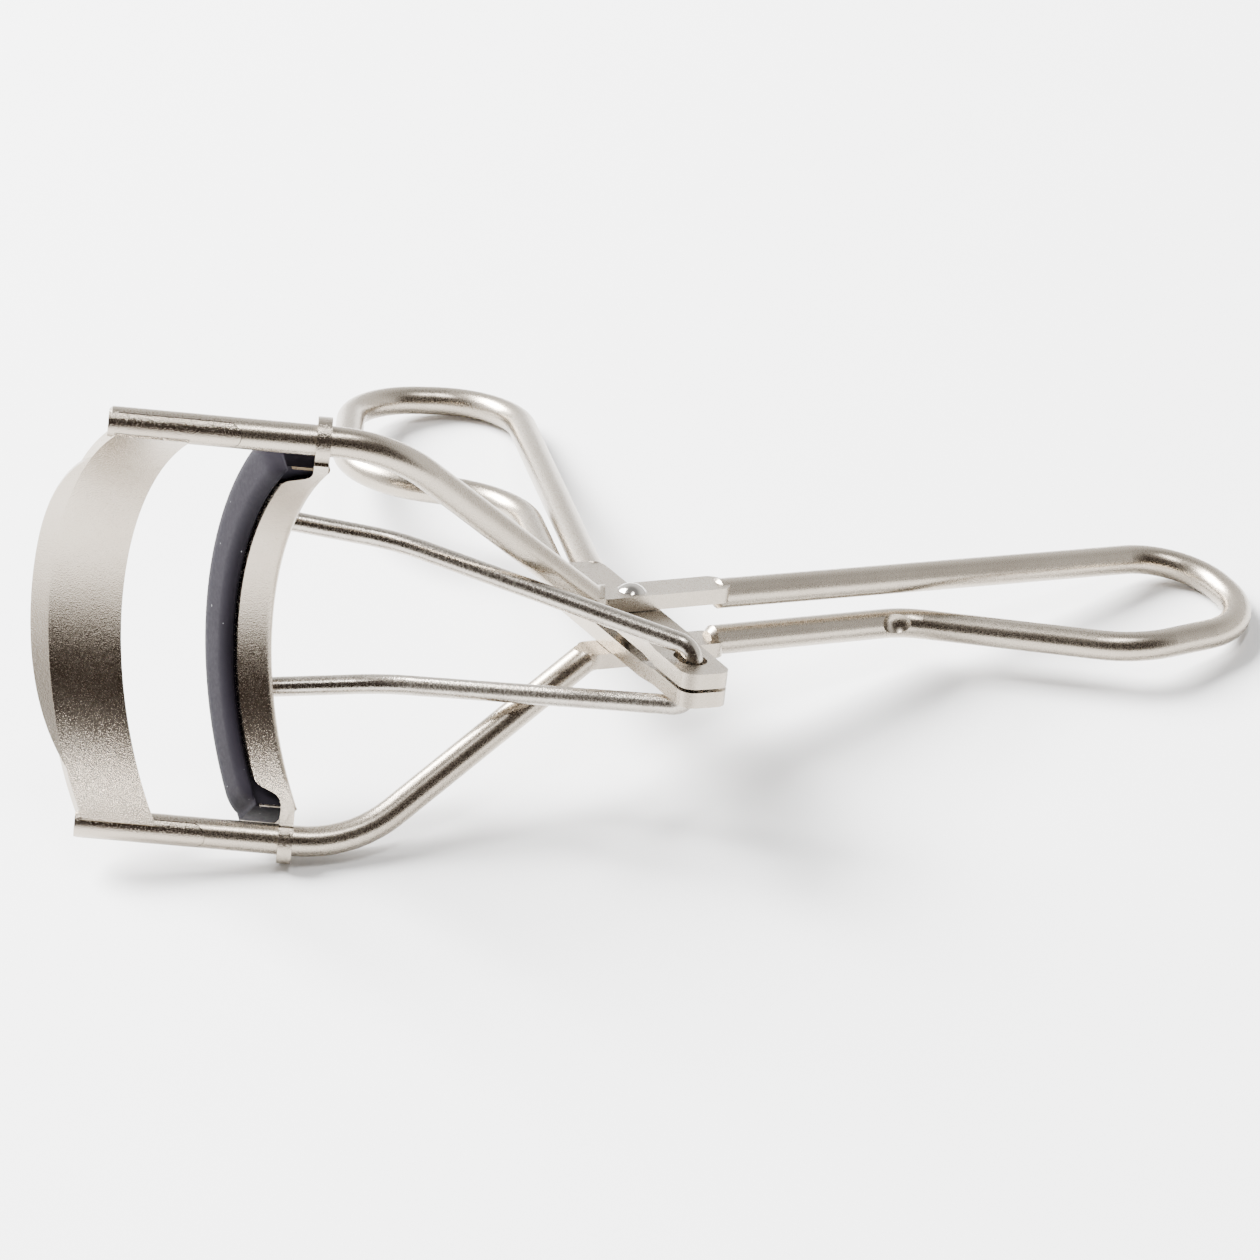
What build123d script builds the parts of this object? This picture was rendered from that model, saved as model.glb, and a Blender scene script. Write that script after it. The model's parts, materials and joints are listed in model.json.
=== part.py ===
"""Wire-type eyelash curler, lying on a table with its jaw open.

The tool is drawn in its own frame and laid down at the end:
  X runs along the rails toward the jaw, Z is the rivet axis (toward the far rail),
  Y completes the set (the hollow side of the two curved bars), origin on the rivet.
All sizes are millimetres.
"""
from build123d import *
from math import atan2, cos, degrees, hypot, radians, sin, sqrt, tan
import os

# ---- driving sizes -----------------------------------------------------------------
wire_d = 2.5              # frame and handle wire
link_d = 1.65             # thin wire between handle and moving bar
flat_t = 1.3              # wire pressed flat at the pivot
flat_w = 3.1              # width of the frame's flats
flat_gap = 0.06           # running gap between neighbouring flats
lever_gap = 0.8           # space between the two moving flats at the rivet
rail_half = 17.1          # rail axis to middle plane
rail_tip = 43.5           # front end of the rails
rail_bend_s = 23.8        # pivot to rail bend, measured in the frame plane
lean = 27.6               # frame plane against the rails, and slope of both bars' edges
bar_axis_y = 24.3         # common axis of all bar curves

# upper (fixed) bar
bar_in = 0.097            # hollow face of the strip inside the rails' own surface
bar_t = 0.7
bar_press = 41.27         # pressing edge on the middle plane
bar_width = 5.9
bar_past = 1.32           # degrees the strip runs on past the rail axis
lip_len, lip_flare = 1.5, 0.9
lip_short = 12.5          # degrees from the lip's end to the strip's end
tab_back = 33.0           # rear end of the bar's tabs on the rails
tab_w = 2.0
cap_t = 0.75              # end of the tab folded over the rail's front face
tab_gap = 0.05            # seam between a tab and the edge of its seat
seat_rise = 0.55          # seat floor above the rail axis

# lower (moving) bar and pad
jaw_in = 0.217            # hollow face of the channel inside the eyelets
jaw_t = 0.55
jaw_back = 28.7           # back of the channel on the middle plane
jaw_h = 3.1
jaw_short = 5.58          # degrees from the channel's end to the rail axis
pad_base_w = 3.0
pad_proud = 1.1           # pad in front of the channel
pad_head_over = 0.45      # head wider than the base on the hollow side
pad_head_out = 0.25       # ... and on the outer side
pad_round = 0.5
pad_short, head_short = 0.2, 1.6   # degrees from the pad's base and head to the channel's end
pad_fit = 0.02
eye_t, eye_len, eye_u = 0.6, 1.15, 25.9
eye_gap = 0.08            # running fit of the eyelets on the rails
neck_len = 6.1            # degrees over which the hollow wall narrows
strap_short = 0.18        # degrees from the strap's end to the rail axis
jaw_bend_r = 0.5          # outer radius of the channel's two folds

# pivot and handle
rivet_d, rivet_head_d, rivet_head_h = 1.6, 2.4, 0.55
rivet_fit = 0.04
frame_flat_front, frame_flat_back = 3.6, 9.0
rail_bend_r = 11.0
press_mark, mark_r, mark_at = 0.4, 1.5, 26.6   # bending mark at the knee of the fixed loop
rod_start = 7.8           # the round wire of the fixed handle starts here
rod_in, grip_in = 0.35, 0.1   # round wires set in from the outer faces' own middle
flat_corner = 1.2         # rounded corners of all flats
head_room, lever_room = 4.6, 6.2   # cleared over the rivet head, and for the moving flats
shoulder = 0.45           # chamfer where round wire stands up from a flat
lever_angle = 66.7        # moving flats against the rails
lever_back, lever_tip = 10.3, 15.0
lever_w = 4.2
lever_pinch, pinch_from, pinch_to = 0.25, 7.0, 9.5   # the tips come together
grip_angle = 83.0         # rods of the moving handle against the rails

# link
pin_y = 10.9
pin_rest_r = 12.0
weld_in, weld_z = 0.68, 7.5    # where the wire meets the channel, inside its outer wall
knee_x, knee_drop, knee_z = 19.6, 0.4, 6.2   # bend beside the weld, below it
link_over = 2.5           # wire axis above the middle plane where it turns into the slot
slot_c, slot_l, slot_w = 11.4, 3.3, 2.4
bead_r = 1.25

# ---- derived -----------------------------------------------------------------------
wire_r = wire_d / 2
z_lever = 0.5 * (lever_gap + flat_t)         # middle of the moving flats
z_frame = z_lever + flat_t + flat_gap        # middle of the frame's flats
z_rod = z_frame - rod_in                     # round wire of the fixed handle
z_grip = lever_gap / 2 + flat_t - wire_r + grip_in   # ... and of the moving handle
rail_end = rail_tip - cap_t
slope = tan(radians(lean))
rail_y = rail_bend_s * sin(radians(lean))
rail_bend_x = rail_bend_s * cos(radians(lean))
fold_x = bar_press + bar_width
reach = hypot(rail_half, bar_axis_y - rail_y)    # rail axis to the axis of the bar curves
rail_angle = degrees(atan2(rail_half, bar_axis_y - rail_y))
eye_r = wire_r + eye_gap
bar_r = reach - wire_r - bar_in              # hollow faces of strip and channel
jaw_r = reach - eye_r - eye_t - jaw_in
bar_angle, lip_angle = rail_angle + bar_past, rail_angle + bar_past - lip_short
jaw_angle = rail_angle - jaw_short
pad_angle, head_angle = jaw_angle - pad_short, jaw_angle - head_short
neck_from, neck_to = jaw_angle - neck_len, rail_angle - strap_short
bar_y = bar_axis_y - bar_r                   # hollow faces on the middle plane
jaw_y = bar_axis_y - jaw_r
groove_in = jaw_r + jaw_t
groove_out = groove_in + pad_base_w + 2 * pad_fit
jaw_out = groove_out + jaw_t
weld_y = bar_axis_y - sqrt((jaw_out - weld_in) ** 2 - weld_z ** 2)
weld_x = jaw_back - (weld_y - jaw_y) * slope


# ---- helpers -----------------------------------------------------------------------
def rounded_path(points, radii):
    """Polyline with tangent arcs of the given radii at its inner corners."""
    points = [Vector(*p) for p in points]
    edges, last = [], points[0]
    for before, corner, after, r in zip(points, points[1:], points[2:], radii):
        d_in = (corner - before).normalized()
        d_out = (after - corner).normalized()
        half = radians(d_in.get_angle(d_out)) / 2
        start = corner - d_in * r * tan(half)
        end = corner + d_out * r * tan(half)
        middle = corner + (d_out - d_in).normalized() * r * (1 / cos(half) - 1)
        edges += [Edge.make_line(last, start), Edge.make_three_point_arc(start, middle, end)]
        last = end
    return Wire(edges + [Edge.make_line(last, points[-1])])


def rod(points, radii, d, bevel=0.0):
    """Round wire along a rounded path, its two ends bevelled."""
    path = rounded_path(points, radii)
    wire = sweep(Plane(origin=path @ 0, z_dir=path % 0) * Circle(d / 2), path=path)
    if bevel:
        rims = [wire.edges().filter_by(GeomType.CIRCLE).sort_by_distance(path @ t)[0] for t in (0, 1)]
        wire = chamfer(rims, bevel)
    return wire


def ball(point, d):
    return Pos(*point) * Sphere(d / 2)


def turned(angle, x, y, z=0.0):
    """Point given along a direction leaning from +X toward -Y, y to its head side."""
    a = radians(angle)
    return (x * cos(a) + y * sin(a), -x * sin(a) + y * cos(a), z)


def band(x_mid, y_mid, r_in, r_out, half_angle):
    """Curved face in a leaning plane that crosses (x_mid, y_mid) on the middle plane."""
    plane = Plane(origin=(x_mid - (bar_axis_y - y_mid) * slope, bar_axis_y, 0), x_dir=(0, 0, 1),
                  z_dir=(cos(radians(lean)), sin(radians(lean)), 0))
    stretch = 1 / cos(radians(lean))
    arcs = [EllipticalCenterArc((0, 0), r, r * stretch, start_angle=90 - half_angle,
                                arc_size=2 * half_angle) for r in (r_in, r_out)]
    ends = [Line(arcs[0] @ t, arcs[1] @ t) for t in (0, 1)]
    return plane * make_face(arcs + ends)


def curved_bar(x_from, x_to, y_mid, r_in, r_out, half_angle):
    """Block between two leaning planes, its curved faces running along the rails."""
    return extrude(band(x_from, y_mid, r_in, r_out, half_angle), amount=x_to - x_from, dir=(1, 0, 0))


def slab(x0, x1, width, z_mid, angle):
    """Pressed flat along a direction, through the rivet."""
    body = Pos((x0 + x1) / 2, 0, z_mid) * Box(x1 - x0, width, flat_t)
    return Rot(0, 0, -angle) * fillet(body.edges().filter_by(Axis.Z), flat_corner)


def tab_outline(side, gap):
    """Block over the front of a rail, round at its rear end, that a bar's tab fills."""
    length = rail_tip - tab_back
    face = SlotOverall(2 * (length + gap), tab_w + 2 * gap)
    plane = Plane(origin=(rail_tip, rail_y + seat_rise, side * rail_half), x_dir=(1, 0, 0),
                  z_dir=(0, 1, 0))
    return extrude(plane * face, amount=wire_d)


# ---- frame: one wire, both rails, pivot flats and the fixed finger loop ------------
frame_angle = 180 - lean
press_side = Vector(0.05, 0.93, 0.30).normalized()


def in_frame(x, y, z):
    return turned(frame_angle, x, -y, z)


loop_a = [in_frame(rod_start, 0, z_rod), in_frame(55.2, 0, 1.7), in_frame(55.0, 12.4, 0.0),
          in_frame(42.0, 13.2, -0.9), in_frame(27.0, 0, -z_rod), in_frame(rod_start, 0, -z_rod)]
loop_a_radii = (6.0, 6.0, 8.0, 5.0)
frame = rod(loop_a, loop_a_radii, wire_d, shoulder)
mark = Vector(*in_frame(mark_at, 0.2, -z_rod)) + press_side * (wire_r + mark_r - press_mark)
frame -= ball(mark, 2 * mark_r)
for side in (1, -1):
    rail = [(rail_end, rail_y, side * rail_half), (rail_bend_x, rail_y, side * rail_half),
            in_frame(-frame_flat_front, 0, side * z_frame), in_frame(-1.2, 0, side * z_frame)]
    frame += rod(rail, (rail_bend_r, 2.0), wire_d)
    # only the outer half of the round wire stays over the pivot
    frame -= Pos(0, 0, side * 3) * Box(head_room, 8, 8)
    frame += slab(-frame_flat_front - 0.6, frame_flat_back, flat_w, side * z_frame, frame_angle)
frame -= Cylinder(lever_room, 2 * (z_frame - flat_t / 2))
frame -= Cylinder(rivet_d / 2, 4 * z_frame)
for side in (1, -1):
    frame -= tab_outline(side, tab_gap)

# ---- rivet -------------------------------------------------------------------------
rivet_half = z_frame + flat_t / 2
rivet = Cylinder(rivet_d / 2, 2 * rivet_half)
cap_r = (rivet_head_d ** 2 / 4 + rivet_head_h ** 2) / (2 * rivet_head_h)
for side in (1, -1):
    cap = Pos(0, 0, side * (rivet_half + rivet_head_h - cap_r)) * Sphere(cap_r)
    rivet += cap & Pos(0, 0, side * (rivet_half + 1)) * Cylinder(rivet_head_d, 2)

# ---- moving handle: one wire, two flats stacked at the pivot ------------------------
side_step = wire_r        # the handle's two rods pass side by side at the pivot


def in_grip(x, y, z):
    return turned(grip_angle, x, y, z)


loop_b = [in_grip(9.6, 2.7 - side_step, z_grip), in_grip(13.5, 1.6, z_grip), in_grip(55.3, 2.0, 0.4),
          in_grip(55.0, 16.3, 0.0), in_grip(34.5, 19.6, -0.3), in_grip(31.0, 4.6, -z_grip),
          in_grip(13.5, 4.3, -z_grip), in_grip(9.6, 2.7 + side_step, -z_grip)]
loop_b_radii = (8.0, 7.0, 7.0, 7.5, 7.5, 8.0)
handle = rod(loop_b, loop_b_radii, wire_d, shoulder)
for side in (1, -1):
    low, high = side * lever_gap / 2, side * (lever_gap / 2 + flat_t)
    pinch = side * lever_pinch
    profile = [(-lever_tip, low - pinch), (-pinch_to, low - pinch), (-pinch_from, low), (lever_back, low),
               (lever_back, high), (-pinch_from, high), (-pinch_to, high - pinch),
               (-lever_tip, high - pinch)]
    face = make_face(Polyline(*[(x, 0, z) for x, z in profile], close=True))
    lever = extrude(face, amount=lever_w / 2, both=True, dir=(0, 1, 0))
    lever = fillet(lever.edges().filter_by(Axis.Z), flat_corner)
    handle += Rot(0, 0, -lever_angle) * lever
handle -= Cylinder(rivet_d / 2 + rivet_fit, 8)
slot = Pos(-slot_c, 0, 0) * extrude(SlotOverall(slot_l, slot_w), amount=4, both=True)
handle -= Rot(0, 0, -lever_angle) * slot

# ---- upper bar ---------------------------------------------------------------------
upper_bar = curved_bar(bar_press, fold_x, bar_y, bar_r, bar_r + bar_t, bar_angle)
lip_root = band(fold_x - 0.01, bar_y, bar_r, bar_r + bar_t, lip_angle)
lip_edge = band(fold_x + lip_len, bar_y, bar_r + lip_flare, bar_r + lip_flare + bar_t, lip_angle - 2)
lip = loft([lip_root, lip_edge], ruled=True)


def lip_outline(part):
    """Point on the lip's outer edge seen across the rails; the lip runs out at both ends."""
    a = radians(lip_angle) * part
    reach = lip_len * (1 - part ** 4)
    return (fold_x - bar_r * (1 - cos(a)) * slope + reach, 0, bar_r * sin(a))


edge = Spline(*[lip_outline(i / 4) for i in range(-4, 5)])
back_x = fold_x - bar_r
ends = Polyline(edge @ 0, (back_x, 0, (edge @ 0).Z), (back_x, 0, (edge @ 1).Z), edge @ 1)
upper_bar += lip & extrude(make_face(edge + ends), amount=bar_r, dir=(0, 1, 0))
for side in (1, -1):
    envelope = Pos((tab_back + rail_tip) / 2 - 1, rail_y, side * rail_half) * Rot(0, 90, 0)
    upper_bar += envelope * Cylinder(wire_r, rail_tip - tab_back + 2) & tab_outline(side, 0)
    cap = Cylinder(wire_r, cap_t)
    cap = chamfer(cap.edges().sort_by(Axis.Z)[-1], cap_t / 3)
    upper_bar += Pos(rail_end + cap_t / 2, rail_y, side * rail_half) * Rot(0, 90, 0) * cap
upper_bar -= frame

# ---- lower bar ---------------------------------------------------------------------
lower_bar = curved_bar(jaw_back, jaw_back + jaw_h, jaw_y, jaw_r, jaw_out, jaw_angle)
facing = Axis((0, 0, 0), (cos(radians(lean)), sin(radians(lean)), 0))
back = lower_bar.faces().filter_by(GeomType.PLANE).sort_by(facing)[0]
lower_bar = fillet(back.edges().sort_by(Edge.length)[-2:], jaw_bend_r)
lower_bar -= curved_bar(jaw_back + jaw_t, jaw_back + jaw_h + 5, jaw_y, groove_in, groove_out, jaw_angle + 3)


def shell_sector(side, a0, a1):
    """Section of the hollow wall between two angles, at the eyelet's rear end."""
    arcs = [CenterArc((0, 0), r, a0, a1 - a0) for r in (jaw_r, jaw_r + jaw_t)]
    face = make_face(arcs + [Line(arcs[0] @ t, arcs[1] @ t) for t in (0, 1)])
    return Plane(origin=(eye_u, bar_axis_y, 0), x_dir=(0, -1, 0), z_dir=(-side, 0, 0)) * face


for side in (1, -1):
    ring = Pos(eye_u + eye_len / 2, rail_y, side * rail_half) * Rot(0, 90, 0)
    lower_bar += ring * Cylinder(eye_r + eye_t, eye_len)
    # the hollow wall narrows in a double curve to a strap that runs onto the eyelet
    z_from, z_to = (side * jaw_r * sin(radians(a)) for a in (neck_from, jaw_angle + 1))
    drop = jaw_r * (1 - cos(radians(neck_from))) * slope
    wedge = Polyline((eye_u, 0, z_to), (jaw_back + jaw_bend_r - drop, 0, z_from), (eye_u - 1, 0, z_from),
                     (eye_u - 1, 0, z_to), close=True)
    strap = extrude(shell_sector(side, neck_from, neck_to), amount=eye_len, dir=(1, 0, 0))
    lower_bar += strap - extrude(make_face(wedge), amount=bar_axis_y, dir=(0, 1, 0))
    x_from = jaw_back + jaw_h - drop
    curve = Spline((x_from, 0, z_from), (eye_u + eye_len, 0, z_to), tangents=[(-0.6, 0, side), (0, 0, side)])
    ends = Polyline(curve @ 1, (x_from + 3, 0, z_to), (x_from + 3, 0, z_from), curve @ 0)
    bite = extrude(make_face(curve + ends), amount=bar_axis_y, dir=(0, 1, 0))
    lower_bar -= bite & extrude(shell_sector(side, neck_from - 3, neck_to), amount=9, dir=(1, 0, 0))
    lower_bar -= ring * Cylinder(eye_r, 8)

# ---- pad ---------------------------------------------------------------------------
front = jaw_back + jaw_h
pad = curved_bar(jaw_back + jaw_t, front + 0.5, jaw_y, groove_in + pad_fit, groove_out - pad_fit, pad_angle)
head = curved_bar(front + 0.25, front + pad_proud, jaw_y, groove_in - pad_head_over,
                  groove_out + pad_head_out, head_angle)
crown = head.faces().filter_by(GeomType.PLANE).sort_by(facing)[-1]
pad += fillet(crown.edges().sort_by(Edge.length)[-2:], pad_round)

# ---- link wire and its weld beads --------------------------------------------------
pin_x = -pin_rest_r * cos(radians(lever_angle))
knee_y = weld_y - knee_drop
link_pts = [(weld_x + 1, weld_y, weld_z), (knee_x, knee_y, knee_z), (pin_x, pin_y, link_over),
            (pin_x, pin_y, -link_over), (knee_x, knee_y, -knee_z), (weld_x + 1, weld_y, -weld_z)]
link_wire = rod(link_pts, (12.0, 1.6, 1.6, 12.0), link_d)
solid_jaw = curved_bar(jaw_back, jaw_back + jaw_h + 5, jaw_y, jaw_r - 2, jaw_out + 2, jaw_angle + 3)
link_wire -= solid_jaw
beads = {}
for name, side in (("far", 1), ("near", -1)):
    bead = ball((weld_x - 0.1, weld_y, side * weld_z), 2 * bead_r) - solid_jaw
    beads["link_weld_" + name] = bead - link_wire

# ---- lay the tool on the table -----------------------------------------------------
nodes = {"frame_wire": frame, "moving_handle": handle, "rivet": rivet, "upper_bar": upper_bar,
         "lower_bar": lower_bar, "lash_pad": pad, "link_wire": link_wire, **beads}


def samples(points, radii, count=160):
    path = rounded_path(points, radii)
    return [path @ (i / count) for i in range(count + 1)]


rests = [([Vector(eye_u, rail_y, -rail_half), Vector(eye_u + eye_len, rail_y, -rail_half)], eye_r + eye_t),
         (samples(loop_a, loop_a_radii), wire_r),
         (samples(loop_b, loop_b_radii), wire_r)]
up = Vector(0.115, 0.262, 0.958).normalized()
for _ in range(8):
    low = [min(pts, key=lambda p: p.dot(up)) - up * r for pts, r in rests]
    up = (low[1] - low[0]).cross(low[2] - low[0]).normalized()
    up = up if up.Z > 0 else -up
along = Vector(-0.9934, 0.0362, 0.1091)
lie = Plane(origin=(0, 0, 0), x_dir=along - up * along.dot(up), z_dir=up).location.inverse()

if __name__ == "__main__":
    os.makedirs("parts", exist_ok=True)
    laid = {name: lie * shape for name, shape in nodes.items()}
    box = Compound(list(laid.values())).bounding_box()
    shift = Pos(-box.center().X, -box.center().Y, -box.min.Z)
    for name, shape in laid.items():
        solid = shift * shape
        print(name, len(solid.solids()), round(solid.volume, 2), solid.is_valid)
        export_step(solid, f"parts/{name}.step")
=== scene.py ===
import json
from math import cos, radians, sin, sqrt, tan

import bmesh
import bpy
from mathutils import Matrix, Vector


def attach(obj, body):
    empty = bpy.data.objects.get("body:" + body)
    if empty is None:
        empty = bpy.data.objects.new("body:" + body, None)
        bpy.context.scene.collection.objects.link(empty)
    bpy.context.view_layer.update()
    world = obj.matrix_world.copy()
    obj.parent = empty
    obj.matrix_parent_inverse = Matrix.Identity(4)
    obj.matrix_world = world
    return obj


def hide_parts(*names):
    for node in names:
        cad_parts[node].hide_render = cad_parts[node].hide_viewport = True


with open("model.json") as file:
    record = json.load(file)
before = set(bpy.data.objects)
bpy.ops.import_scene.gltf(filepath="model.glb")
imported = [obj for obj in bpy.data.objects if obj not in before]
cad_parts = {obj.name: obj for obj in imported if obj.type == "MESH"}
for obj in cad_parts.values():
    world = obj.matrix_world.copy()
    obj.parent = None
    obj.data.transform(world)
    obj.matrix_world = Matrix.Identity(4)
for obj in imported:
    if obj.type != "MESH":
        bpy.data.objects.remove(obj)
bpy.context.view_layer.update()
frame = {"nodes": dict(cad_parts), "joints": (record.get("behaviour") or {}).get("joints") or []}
nodes = frame["nodes"]

# ---- the tool's own axes, from its two joints ----------------------------------------
joints = {j["name"]: j for j in frame["joints"]}
pivot = Vector(joints["handle_hinge"]["pos_m"])
along = Vector(joints["jaw_slide"]["axis"])        # along the rails, toward the jaw
across = -Vector(joints["handle_hinge"]["axis"])   # rivet axis, toward the far rail
hollow = across.cross(along)                       # hollow side of both bars
MM = 0.001


def place(x, y, z):
    """Point given in millimetres in the tool's own axes."""
    return pivot + (along * x + hollow * y + across * z) * MM


# ---- materials ----------------------------------------------------------------------
def material(name):
    m = bpy.data.materials.new(name)
    m.use_nodes = True
    m.node_tree.nodes.clear()
    out = m.node_tree.nodes.new("ShaderNodeOutputMaterial")
    shader = m.node_tree.nodes.new("ShaderNodeBsdfPrincipled")
    m.node_tree.links.new(shader.outputs[0], out.inputs[0])
    return m, m.node_tree, shader


def noise(tree, scale, detail=3.0, rough=0.55):
    coord = tree.nodes.new("ShaderNodeTexCoord")
    tex = tree.nodes.new("ShaderNodeTexNoise")
    tex.inputs["Scale"].default_value = scale
    tex.inputs["Detail"].default_value = detail
    tex.inputs["Roughness"].default_value = rough
    tree.links.new(coord.outputs["Object"], tex.inputs["Vector"])
    return tex


def ramp(tree, source, stops):
    r = tree.nodes.new("ShaderNodeValToRGB")
    while len(r.color_ramp.elements) < len(stops):
        r.color_ramp.elements.new(0.5)
    for e, (at, value) in zip(r.color_ramp.elements, stops):
        e.position = at
        e.color = (value, value, value, 1) if isinstance(value, float) else (*value, 1)
    tree.links.new(source, r.inputs["Fac"])
    return r


def mix(tree, fac, a, b):
    n = tree.nodes.new("ShaderNodeMix")
    n.data_type = "RGBA"
    tree.links.new(fac, n.inputs[0])
    for socket, value in ((n.inputs[6], a), (n.inputs[7], b)):
        if isinstance(value, tuple):
            socket.default_value = (*value, 1)
        else:
            tree.links.new(value, socket)
    return n.outputs[2]


def bump(tree, shader, height, strength, distance, after=None):
    b = tree.nodes.new("ShaderNodeBump")
    b.inputs["Strength"].default_value = strength
    b.inputs["Distance"].default_value = distance
    tree.links.new(height, b.inputs["Height"])
    if after:
        tree.links.new(after.outputs[0], b.inputs["Normal"])
    tree.links.new(b.outputs[0], shader.inputs["Normal"])
    return b


def metal(name, dark, light, rough_low, rough_high, grain, grain_strength, cloud=90.0, wave=0.05):
    """Satin nickel plating: cloudy tint, fine blasted grain, faint waviness, tiny pits.

    dark and light are the two tints; roughness runs from rough_low to rough_high; grain and
    cloud are noise scales per metre; grain_strength and wave set the two bump layers.
    """
    m, t, s = material(name)
    s.inputs["Metallic"].default_value = 1.0
    cloudy = noise(t, cloud, 4.0, 0.6)
    tint = ramp(t, cloudy.outputs["Fac"], [(0.3, dark), (0.7, light)])
    fine = noise(t, grain, 2.0, 0.6)
    pits = noise(t, 2600.0, 2.0, 0.6)
    pit_mask = ramp(t, pits.outputs["Fac"], [(0.0, 0.0), (0.76, 0.0), (0.82, 0.6)])
    worn = mix(t, pit_mask.outputs["Color"], tint.outputs["Color"], tuple(0.62 * c for c in dark))
    t.links.new(worn, s.inputs["Base Color"])
    rough = ramp(t, fine.outputs["Fac"], [(0.3, rough_low), (0.7, rough_high)])
    t.links.new(rough.outputs["Color"], s.inputs["Roughness"])
    slow = noise(t, 260.0, 2.0, 0.5)
    first = bump(t, s, slow.outputs["Fac"], wave, 0.0004)
    bump(t, s, fine.outputs["Fac"], grain_strength, 0.00006, first)
    return m


def silicone():
    """Slate silicone: faint clouds, fine matt grain, a few specks of dust."""
    m, t, s = material("slate_silicone")
    cloudy = noise(t, 150.0, 4.0, 0.6)
    tint = ramp(t, cloudy.outputs["Fac"], [(0.3, (0.008, 0.0066, 0.0100)),
                                           (0.7, (0.0105, 0.0088, 0.0130))])
    dust = noise(t, 2300.0, 1.0, 0.5)
    specks = ramp(t, dust.outputs["Fac"], [(0.0, 0.0), (0.775, 0.0), (0.80, 0.7)])
    dusty = mix(t, specks.outputs["Color"], tint.outputs["Color"], (0.2, 0.2, 0.21))
    t.links.new(dusty, s.inputs["Base Color"])
    fine = noise(t, 3000.0, 3.0, 0.6)
    rough = ramp(t, fine.outputs["Fac"], [(0.3, 0.50), (0.7, 0.62)])
    t.links.new(rough.outputs["Color"], s.inputs["Roughness"])
    s.inputs["Specular IOR Level"].default_value = 0.06
    bump(t, s, fine.outputs["Fac"], 0.12, 0.00005)
    return m


champagne = (0.36, 0.31, 0.25), (0.42, 0.37, 0.305)
bright = (0.37, 0.33, 0.285), (0.47, 0.43, 0.375)
polished = (0.44, 0.41, 0.37), (0.50, 0.47, 0.43)
# painted shade: dark weld tints stand in for the shadows round the beads at the link ends
weld_painted_shade = (0.17, 0.15, 0.125), (0.34, 0.30, 0.26)
wire_metal = metal("satin_nickel_wire", *champagne, 0.23, 0.34, 8500.0, 0.12)
sheet_metal = metal("blasted_nickel_sheet", *champagne, 0.19, 0.29, 9000.0, 0.52, wave=0.02)
link_metal = metal("bright_nickel_link", *bright, 0.20, 0.32, 5200.0, 0.25, cloud=500.0)
rivet_metal = metal("rivet_nickel", *polished, 0.10, 0.18, 3000.0, 0.1)
# weld beads get the dark painted-shade tints
weld_metal = metal("weld_nickel", *weld_painted_shade, 0.2, 0.4, 1800.0, 0.9, cloud=700.0)
pad_rubber = silicone()


def finish_node(name, look, edge=0.0):
    """Material and softened edges for a piece that keeps its CAD shape."""
    node = nodes[name]
    node.data.materials.clear()
    node.data.materials.append(look)
    if edge:
        soft = node.modifiers.new("soft_edges", "BEVEL")
        soft.width = edge
        soft.segments = 2
        soft.limit_method = "ANGLE"
        soft.angle_limit = radians(38)
        soft.harden_normals = True


finish_node("frame_wire", wire_metal, 0.00010)
finish_node("moving_handle", wire_metal, 0.00010)
finish_node("rivet", rivet_metal, 0.00005)
finish_node("upper_bar", sheet_metal, 0.00008)
finish_node("lower_bar", sheet_metal, 0.00015)
finish_node("link_wire", link_metal)
finish_node("link_weld_far", weld_metal)
finish_node("link_weld_near", weld_metal)

# ---- pad: base in the channel, neck, overhanging rounded head ------------------------
LEAN = 27.6            # slope of the pad's edges against the rails
AXIS_Y = 24.3          # axis of the bar curves above the rivet
GROOVE_IN, GROOVE_OUT = 20.07, 23.07
GROOVE_Y = 4.8         # hollow face of the channel on the middle plane
BASE_BACK, NECK, CROWN = 29.3, 32.12, 32.95
HEAD_IN, HEAD_OUT = 19.62, 23.3
PAD_ANGLE, HEAD_ANGLE, END_ROUND = 46.6, 45.2, 4.0
BASE_ROUND = 0.25      # bevel of the base's two back edges
OUT_REACH, IN_REACH = 1.35, 0.95   # how far the crown's two roundings run across the head
END_HEIGHT, END_WIDTH = 0.05, 0.86   # head left at its very ends, as shares of the full head
ROWS = 150


def quarter(cx, cy, a, b, start, count=9):
    """Quarter of an ellipse, from angle start (degrees) anticlockwise."""
    steps = [radians(start + 90 * i / count) for i in range(count + 1)]
    return [(cx + a * cos(t), cy + b * sin(t)) for t in steps]


def pad_profile():
    """Closed outline of the pad's section: radius, and place along the rails."""
    base = [(GROOVE_IN, BASE_BACK + BASE_ROUND), (GROOVE_IN + BASE_ROUND, BASE_BACK),
            (GROOVE_OUT - BASE_ROUND, BASE_BACK), (GROOVE_OUT, BASE_BACK + BASE_ROUND),
            (GROOVE_OUT, NECK - 0.12), (GROOVE_OUT + 0.04, NECK - 0.04)]
    out_corner = quarter(HEAD_OUT - 0.1, NECK + 0.1, 0.1, 0.1, -90, 4)
    out_round = quarter(HEAD_OUT - OUT_REACH, NECK + 0.1, OUT_REACH, CROWN - NECK - 0.1, 0, 12)
    in_round = quarter(HEAD_IN + IN_REACH, NECK + 0.16, IN_REACH, CROWN - NECK - 0.18, 90, 12)
    in_corner = quarter(HEAD_IN + 0.12, NECK + 0.12, 0.12, 0.12, 180, 4)
    crease = [(GROOVE_IN - 0.03, NECK - 0.01), (GROOVE_IN, NECK - 0.07), (GROOVE_IN, NECK - 0.4)]
    return base + out_corner + out_round + in_round + in_corner + crease


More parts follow.
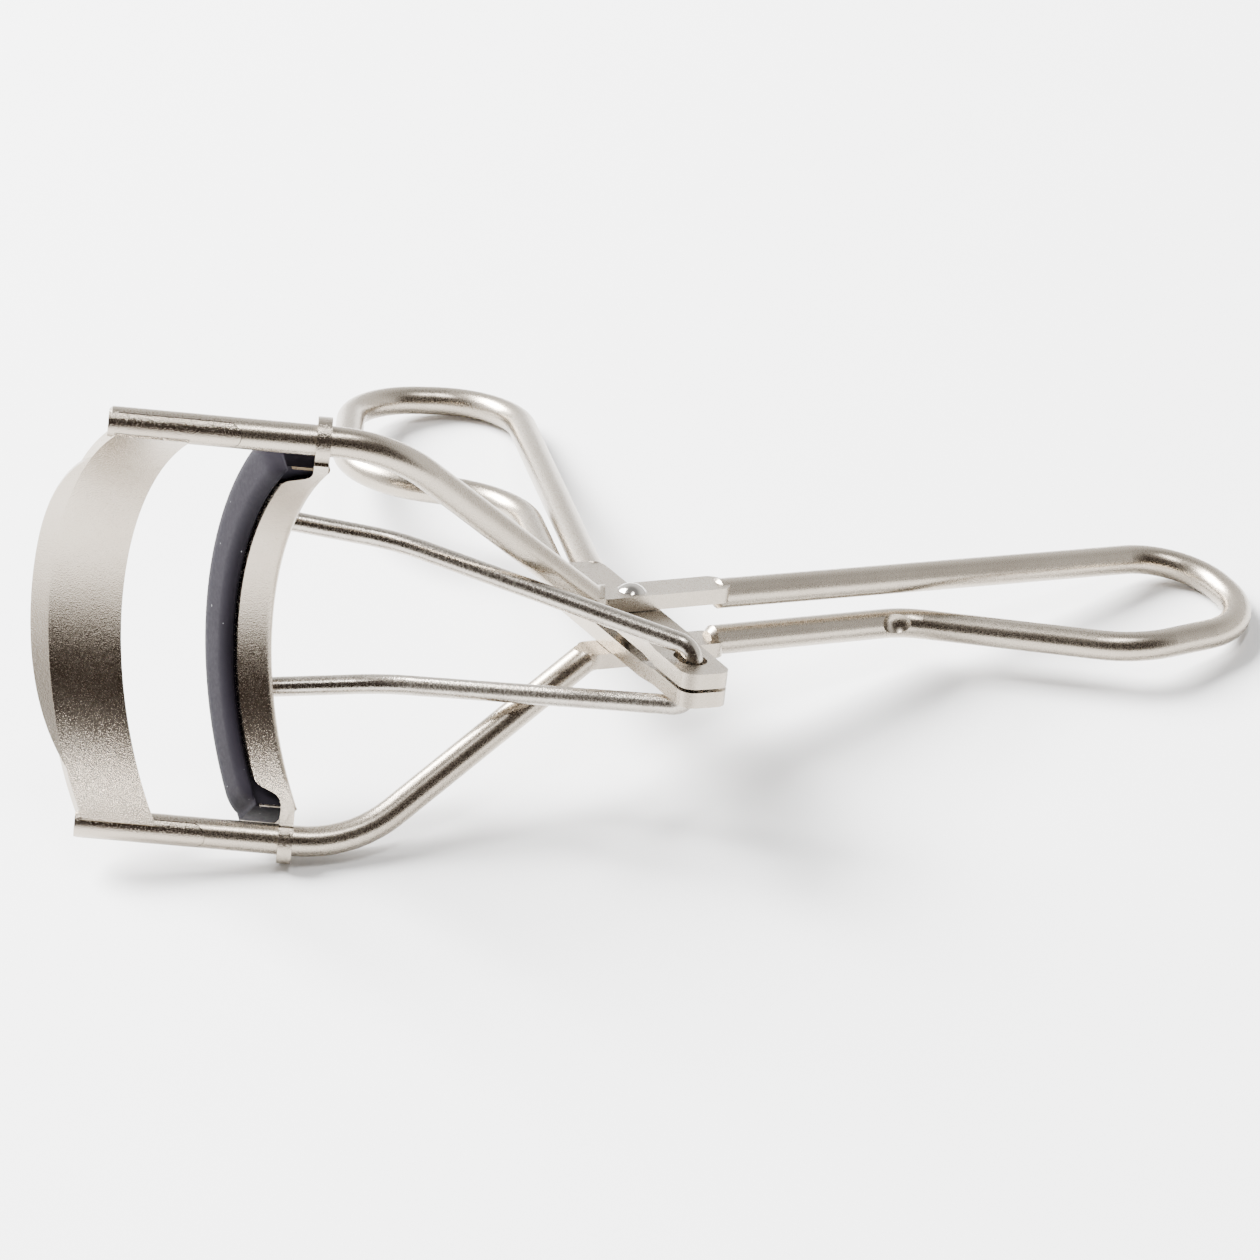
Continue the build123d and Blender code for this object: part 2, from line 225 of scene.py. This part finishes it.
def build_pad():
    """Section carried round the bar's arc; the head swells from each of its ends."""
    profile = pad_profile()
    middle = (GROOVE_IN + GROOVE_OUT) / 2
    bm = bmesh.new()
    rings = []
    for i in range(ROWS + 1):
        angle = PAD_ANGLE * (2 * i / ROWS - 1)
        left = min(1.0, max(0.0, (HEAD_ANGLE - abs(angle)) / END_ROUND))
        swell = sqrt(1 - (1 - left) ** 2)
        ring = []
        for r, x in profile:
            if x > NECK:
                x = NECK + (x - NECK) * (END_HEIGHT + (1 - END_HEIGHT) * swell)
                r = middle + (r - middle) * (END_WIDTH + (1 - END_WIDTH) * swell)
            y = AXIS_Y - r * cos(radians(angle))
            z = r * sin(radians(angle))
            lean_x = x - (y - GROOVE_Y) * tan(radians(LEAN))
            ring.append(bm.verts.new(place(lean_x, y, z)))
        rings.append(ring)
    count = len(profile)
    for a, b in zip(rings, rings[1:]):
        for k in range(count):
            bm.faces.new((a[k], a[(k + 1) % count], b[(k + 1) % count], b[k]))
    bm.faces.new(rings[0])
    bm.faces.new(list(reversed(rings[-1])))
    bmesh.ops.recalc_face_normals(bm, faces=bm.faces)
    mesh = bpy.data.meshes.new("silicone_pad")
    bm.to_mesh(mesh)
    bm.free()
    mesh.polygons.foreach_set("use_smooth", [True] * len(mesh.polygons))
    mesh.materials.append(pad_rubber)
    pad = bpy.data.objects.new("silicone_pad", mesh)
    bpy.context.scene.collection.objects.link(pad)
    soft = pad.modifiers.new("soft_edges", "BEVEL")
    soft.width = 0.00012
    soft.segments = 2
    soft.limit_method = "ANGLE"
    soft.angle_limit = radians(50)
    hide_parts("lash_pad")
    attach(pad, "jaw")


build_pad()

# ---- floor, light and camera --------------------------------------------------------
PAINTED_SHADE_FROM, PAINTED_SHADE_TO = -0.11, -0.34   # painted shade: the table's colour turns dark toward the unlit room in front


def table():
    """Pale table top with painted shade: its colour turns dark in front of the tool, out of the
    camera's sight.
    """
    bpy.ops.mesh.primitive_plane_add(size=6.0, location=(0, 0, 0))
    floor = bpy.context.object
    floor.name = "floor"
    m, t, s = material("pale_table")
    paper = noise(t, 60.0, 3.0, 0.5)
    shade = ramp(t, paper.outputs["Fac"], [(0.3, (0.855, 0.857, 0.86)),
                                           (0.7, (0.87, 0.872, 0.875))])
    front = t.nodes.new("ShaderNodeSeparateXYZ")
    t.links.new(paper.inputs["Vector"].links[0].from_socket, front.inputs[0])
    # painted shade: from here on, the table's colour is mixed toward dark brown-grey in front of
    # the tool
    painted_shade_fall = t.nodes.new("ShaderNodeMapRange")
    painted_shade_fall.inputs["From Min"].default_value = PAINTED_SHADE_FROM
    painted_shade_fall.inputs["From Max"].default_value = PAINTED_SHADE_TO
    t.links.new(front.outputs["Y"], painted_shade_fall.inputs["Value"])
    painted_shade_sweep = mix(t, painted_shade_fall.outputs["Result"], shade.outputs["Color"], (0.16, 0.15, 0.14))
    t.links.new(painted_shade_sweep, s.inputs["Base Color"])
    s.inputs["Roughness"].default_value = 0.6
    s.inputs["Specular IOR Level"].default_value = 0.2
    floor.data.materials.append(m)


OPEN_HEIGHT = 38       # elevation of the middle of the dark opening, degrees
OPEN_ASIDE = 0.16      # how far the opening lies to the right


def studio():
    """Light tent: pale round about, dimmer above, dark where it is open in front."""
    world = bpy.data.worlds.new("studio")
    bpy.context.scene.world = world
    world.use_nodes = True
    t = world.node_tree
    t.nodes.clear()
    out = t.nodes.new("ShaderNodeOutputWorld")
    back = t.nodes.new("ShaderNodeBackground")
    coord = t.nodes.new("ShaderNodeTexCoord")
    toward = t.nodes.new("ShaderNodeVectorMath")
    toward.operation = "DOT_PRODUCT"
    height = radians(OPEN_HEIGHT)
    toward.inputs[1].default_value = Vector((OPEN_ASIDE, -cos(height), sin(height))).normalized()
    t.links.new(coord.outputs["Generated"], toward.inputs[0])
    opening = ramp(t, toward.outputs["Value"], [(0.0, 0.0), (0.54, 0.0), (0.68, 1.0)])
    parts = t.nodes.new("ShaderNodeSeparateXYZ")
    t.links.new(coord.outputs["Generated"], parts.inputs[0])
    tent = ramp(t, parts.outputs["Z"], [(0.0, (0.50, 0.49, 0.48)), (0.25, (0.95, 0.95, 0.95)),
                                        (0.55, (0.7, 0.7, 0.7)), (0.80, (0.22, 0.22, 0.22))])
    colour = mix(t, opening.outputs["Color"], tent.outputs["Color"], (0.030, 0.0215, 0.0165))
    t.links.new(colour, back.inputs["Color"])
    back.inputs["Strength"].default_value = 2.1
    t.links.new(back.outputs[0], out.inputs[0])


def area(name, at, size, power, aim=(0, 0, 0.01)):
    """Rectangular lamp at a place, turned to the tool."""
    light = bpy.data.lights.new(name, "AREA")
    light.shape = "RECTANGLE"
    light.size, light.size_y = size
    light.energy = power
    o = bpy.data.objects.new(name, light)
    bpy.context.scene.collection.objects.link(o)
    o.location = at
    o.rotation_euler = (Vector(aim) - Vector(at)).to_track_quat("-Z", "Y").to_euler()


table()
studio()
area("key", (-0.75, 0.45, 0.80), (0.7, 0.7), 125.0)
area("top", (0.20, -0.16, 1.2), (0.5, 0.12), 8.0)

# long lens, half a metre off, above the front of the tool
cam_data = bpy.data.cameras.new("camera")
cam = bpy.data.objects.new("camera", cam_data)
bpy.context.scene.collection.objects.link(cam)
cam.location = (0.0035, -0.43476, 0.29677)
cam.rotation_euler = (radians(55.616), radians(1.114), 0.0)
cam_data.lens = 175.9
cam_data.sensor_width = 36.0
cam_data.clip_end = 20.0
bpy.context.scene.camera = cam
